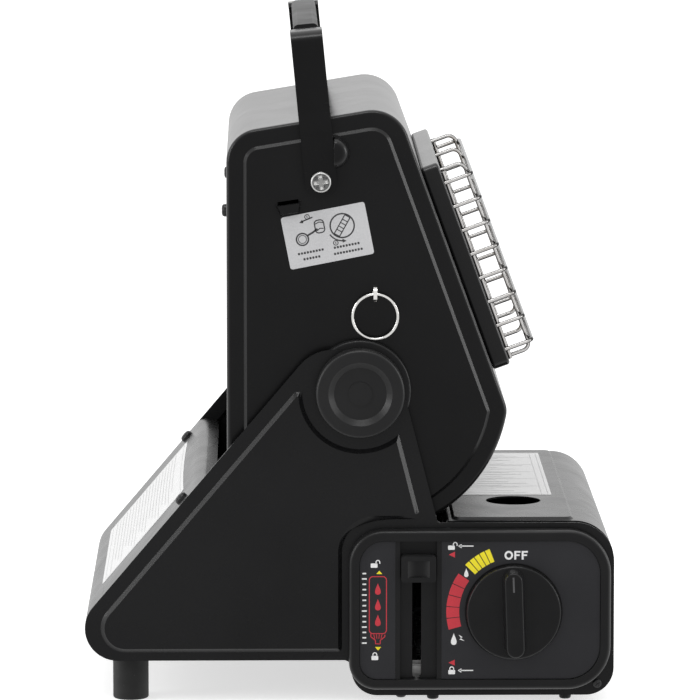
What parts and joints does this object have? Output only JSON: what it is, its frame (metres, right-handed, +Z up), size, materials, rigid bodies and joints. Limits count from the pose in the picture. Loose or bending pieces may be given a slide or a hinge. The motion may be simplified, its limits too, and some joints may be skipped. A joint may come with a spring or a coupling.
{
  "type": "portable gas radiant heater",
  "caption": "Portable canister gas heater: a radiant burner head with wire guard and folding handle tilts on a pressed steel base with a hinged canister lid, control dial and lever.",
  "frame": {"origin": "middle of the footprint, on the ground", "axes": "+X towards the burner's front, +Y from the control panel to the plain side, +Z up"},
  "size_m": [0.266, 0.2704, 0.343],
  "materials": {
    "black_enamel": "black stoving enamel, satin",
    "black_plastic": "black moulded plastic, fine grain",
    "panel_print": "dark grey printed plate",
    "rubber": "black rubber",
    "bright_steel": "bright rolled steel",
    "chrome_wire": "nickel-plated wire",
    "zinc_steel": "zinc-plated steel",
    "brass": "machined brass",
    "ceramic": "matt off-white ceramic",
    "cast_block": "die-cast alloy"
  },
  "bodies": {
    "base": {"base_tray": "black_enamel", "rear_panel": "black_enamel", "seam_strip": "zinc_steel", "side_panel_near": "black_enamel", "side_panel_far": "black_enamel", "bay_partition": "zinc_steel", "canister_cradle": "zinc_steel", "pivot_bosses": "black_plastic", "hub_washers": "zinc_steel", "hub_nuts": "zinc_steel", "pivot_bolts": "zinc_steel", "pivot_caps": "black_plastic", "rubber_feet": "rubber", "foot_plates": "zinc_steel", "base_screws": "zinc_steel", "regulator": "cast_block", "regulator_bracket": "zinc_steel", "gas_nozzle": "brass", "nozzle_seal": "rubber", "gas_tube": "brass", "piezo_igniter": "black_plastic", "control_bezel": "black_plastic", "panel_inlays": "panel_print", "rear_brackets": "zinc_steel"},
    "head": {"head_side_near": "black_enamel", "head_side_far": "black_enamel", "head_wrap": "black_enamel", "head_belly": "black_enamel", "front_panel": "black_enamel", "burner_frame": "black_enamel", "reflector": "bright_steel", "ceramic_plaques": "ceramic", "burner_body": "zinc_steel", "plaque_gasket": "ceramic", "mixing_tube": "zinc_steel", "gas_jet": "brass", "burner_brackets": "zinc_steel", "swivel_union": "brass", "burner_pipe": "brass", "heat_shield": "zinc_steel", "igniter_stems": "ceramic", "igniter_wires": "chrome_wire", "guard_bars": "chrome_wire", "guard_uprights": "chrome_wire", "head_braces": "zinc_steel", "head_screws": "zinc_steel", "handle_screws": "chrome_wire", "handle_spacers": "zinc_steel"},
    "handle": {"bail_strap": "black_enamel", "grip": "black_plastic"},
    "lid": {"lid": "black_enamel", "lid_pins": "zinc_steel"},
    "knob": {"control_knob": "black_plastic", "knob_spindle": "brass"},
    "lever": {"lever_tab": "black_plastic", "lever_slider": "black_plastic"},
    "pusher": {"canister_pusher": "zinc_steel"},
    "pin": {"lock_pin": "chrome_wire", "pin_spring": "chrome_wire"},
    "ring": {"pull_ring": "chrome_wire"}
  },
  "joints": [
    {"name": "head_tilt", "type": "hinge", "parent": "base", "child": "head", "pos_m": [0.0053, 0.00515, 0.1583], "axis": [0, -1, 0], "range_deg": [0, 70]},
    {"name": "handle_fold", "type": "hinge", "parent": "head", "child": "handle", "pos_m": [-0.0142, 0.00515, 0.2634], "axis": [0, -1, 0], "range_deg": [0, 93]},
    {"name": "lid_open", "type": "hinge", "parent": "base", "child": "lid", "pos_m": [0.0496, 0.00515, 0.0882], "axis": [0, -1, 0], "range_deg": [0, 44]},
    {"name": "knob_turn", "type": "hinge", "parent": "base", "child": "knob", "pos_m": [0.0822, -0.11485, 0.0479], "axis": [0, -1, 0], "range_deg": [0, 115]},
    {"name": "lever_slide", "type": "slide", "parent": "base", "child": "lever", "axis": [0, 0, -1], "range_m": [0, 0.044]},
    {"name": "pusher_slide", "type": "slide", "parent": "base", "child": "pusher", "axis": [0, -1, 0], "range_m": [0, 0.006]},
    {"name": "pin_pull", "type": "slide", "parent": "head", "child": "pin", "axis": [0, -1, 0], "range_m": [0, 0.008], "stiffness_N_per_m": 200, "deforming": ["pin_spring"]},
    {"name": "ring_swing", "type": "hinge", "parent": "pin", "child": "ring", "pos_m": [0.0129, -0.11095, 0.2069], "axis": [-1, 0, 0], "range_deg": [0, 80]}
  ],
  "couplings": [
    {"joint": "pusher_slide", "follows": "lever_slide", "ratio": 0.13636}
  ]
}
